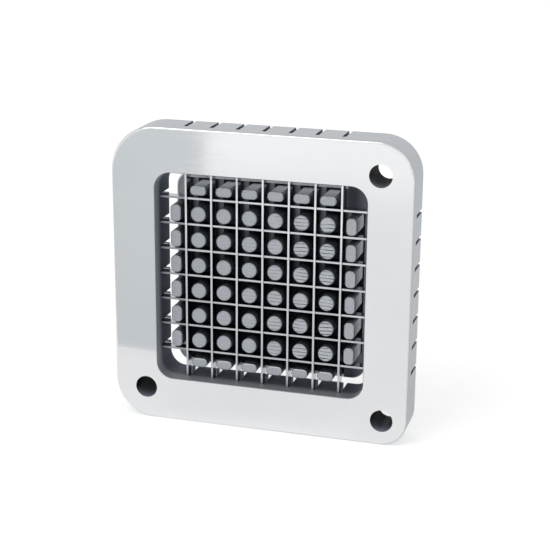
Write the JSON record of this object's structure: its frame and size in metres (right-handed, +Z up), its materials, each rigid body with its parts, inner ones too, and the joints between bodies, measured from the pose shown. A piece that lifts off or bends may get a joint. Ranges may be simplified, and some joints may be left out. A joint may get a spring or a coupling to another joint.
{
  "type": "french fry cutter head",
  "caption": "Square cast frame with a grid of crossed steel blades, and a push block whose fingers slide through the grid from behind.",
  "frame": {"origin": "middle of the head's footprint, on the plane it stands on", "axes": "+X to the right as seen from the front, +Y from the front face towards the push block's rear, +Z up"},
  "size_m": [0.1094, 0.0262, 0.1095],
  "materials": {
    "polished_aluminium": "satin polished casting",
    "blade_steel": "ground strip",
    "rod_steel": "drawn rod",
    "cast_aluminium": "dull casting"
  },
  "bodies": {
    "cutter_head": {"blade_frame": "polished_aluminium", "blade_vertical_1": "blade_steel", "blade_vertical_2": "blade_steel", "blade_vertical_3": "blade_steel", "blade_vertical_4": "blade_steel", "blade_vertical_5": "blade_steel", "blade_vertical_6": "blade_steel", "blade_vertical_7": "blade_steel", "blade_horizontal_1": "blade_steel", "blade_horizontal_2": "blade_steel", "blade_horizontal_3": "blade_steel", "blade_horizontal_4": "blade_steel", "blade_horizontal_5": "blade_steel", "blade_horizontal_6": "blade_steel", "blade_horizontal_7": "blade_steel", "retaining_rod_top": "rod_steel", "retaining_rod_bottom": "rod_steel", "retaining_rod_left": "rod_steel", "retaining_rod_right": "rod_steel"},
    "pusher": {"push_block": "cast_aluminium"}
  },
  "joints": [
    {"name": "push_slide", "type": "slide", "parent": "cutter_head", "child": "pusher", "axis": [0, 1, 0], "range_m": [-0.0055, 0.06]}
  ]
}
